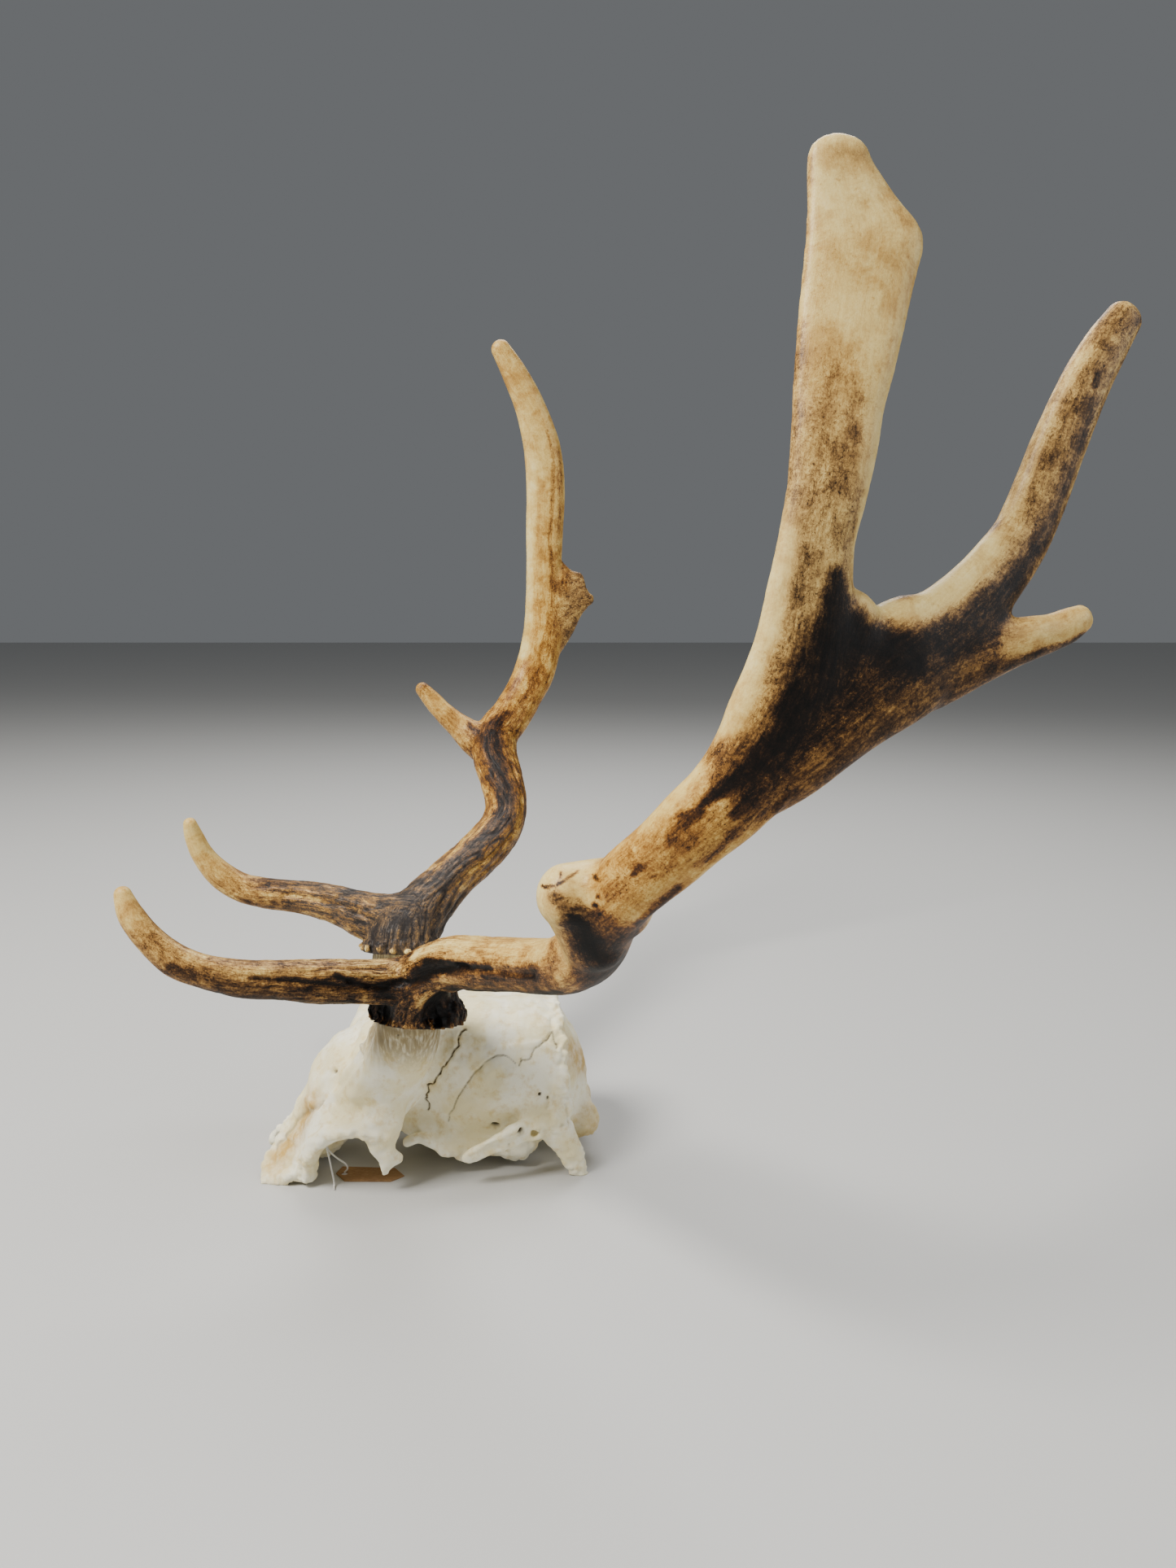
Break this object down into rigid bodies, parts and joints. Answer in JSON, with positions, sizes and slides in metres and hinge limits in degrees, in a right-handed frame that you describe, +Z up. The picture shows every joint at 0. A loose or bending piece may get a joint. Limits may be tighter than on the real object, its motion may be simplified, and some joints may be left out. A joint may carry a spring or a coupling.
{
  "type": "deer skull with antlers",
  "caption": "Deer skull without its face, resting on its broken edges and carrying a pair of uneven, partly flattened antlers, with a small card label on a string",
  "frame": {"origin": "bottom centre of the whole object, on the surface that the skull rests on", "axes": "+Z up, the animal looks along -X, its left side is at -Y and its right side at +Y"},
  "size_m": [0.3856, 0.5306, 0.4805],
  "materials": {
    "bone": "dry matt bone",
    "antler": "polished and stained antler",
    "card": "brown kraft card",
    "string": "white cotton"
  },
  "bodies": {
    "root": {"skull": "bone", "left_lower_beam": "antler", "left_brow_tine": "antler", "left_upper_beam": "antler", "left_blade": "antler", "left_rear_tine": "antler", "left_short_tine": "antler", "right_lower_beam": "antler", "right_brow_tine": "antler", "right_upper_beam": "antler", "right_trez_tine": "antler", "specimen_tag": "card", "tag_string": "string"}
  },
  "joints": []
}
